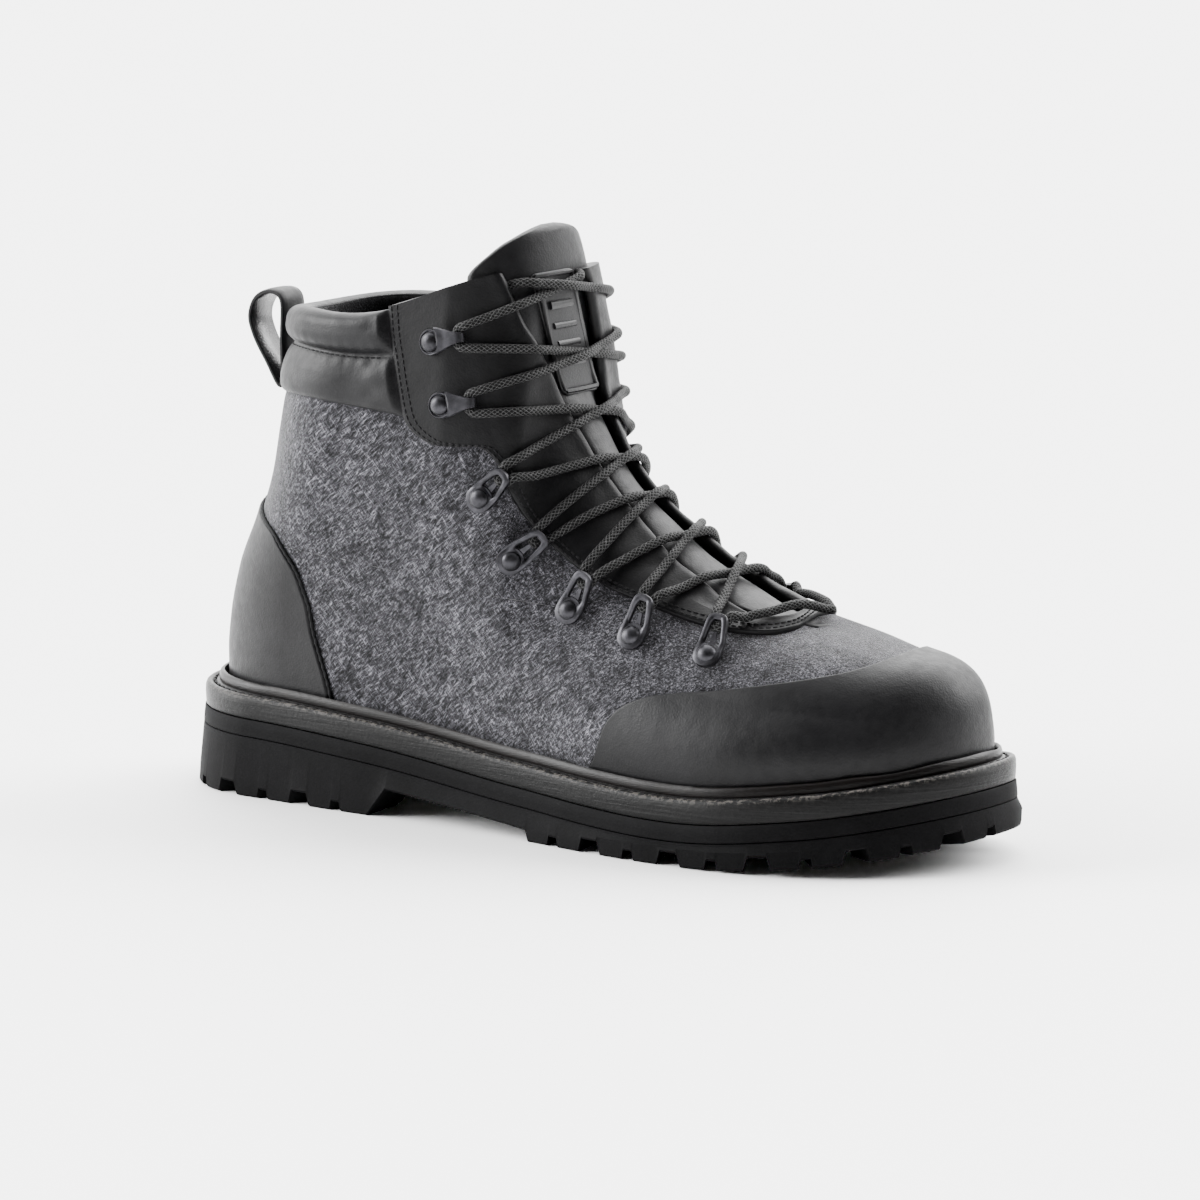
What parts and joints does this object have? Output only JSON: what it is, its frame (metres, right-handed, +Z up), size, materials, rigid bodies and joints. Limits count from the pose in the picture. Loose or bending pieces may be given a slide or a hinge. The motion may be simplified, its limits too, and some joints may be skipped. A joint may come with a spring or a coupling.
{
  "type": "lace-up ankle boot",
  "caption": "Right ankle boot: felt upper with leather toe, heel, collar and facings, speed lacing, and a lugged rubber sole.",
  "frame": {"origin": "on the ground under the middle of the heel", "axes": "+X towards the toe, +Y towards the inner side of the foot, +Z up"},
  "size_m": [0.3108, 0.11, 0.1993],
  "materials": {
    "sole_rubber": "matte moulded",
    "edge_leather": "burnished edge",
    "bead_leather": "waxed",
    "felt": "brushed felt",
    "lining": "soft felt",
    "leather": "matte grained",
    "patch_rubber": "matte moulded",
    "gunmetal": "dark gunmetal",
    "lace": "waxed braid"
  },
  "bodies": {
    "root": {"outsole": "sole_rubber", "rubber_midsole": "sole_rubber", "leather_midsole": "edge_leather", "welt_bead": "bead_leather", "insole": "lining", "upper": "felt", "toe_cap": "leather", "heel_counter": "leather", "collar": "leather", "eyestay": "leather", "tongue": "leather", "tongue_patch": "patch_rubber", "pull_loop": "leather", "lace_ring_lateral_1": "gunmetal", "lace_ring_lateral_2": "gunmetal", "lace_ring_lateral_3": "gunmetal", "lace_ring_lateral_4": "gunmetal", "lace_ring_lateral_5": "gunmetal", "lace_hook_lateral_1": "gunmetal", "lace_hook_lateral_2": "gunmetal", "lace_ring_medial_1": "gunmetal", "lace_ring_medial_2": "gunmetal", "lace_ring_medial_3": "gunmetal", "lace_ring_medial_4": "gunmetal", "lace_ring_medial_5": "gunmetal", "lace_hook_medial_1": "gunmetal", "lace_hook_medial_2": "gunmetal", "lace_bar": "lace", "lace_cross_1": "lace", "lace_cross_2": "lace", "lace_cross_3": "lace", "lace_cross_4": "lace", "lace_cross_5": "lace", "lace_cross_6": "lace", "lace_top": "lace"}
  },
  "joints": []
}
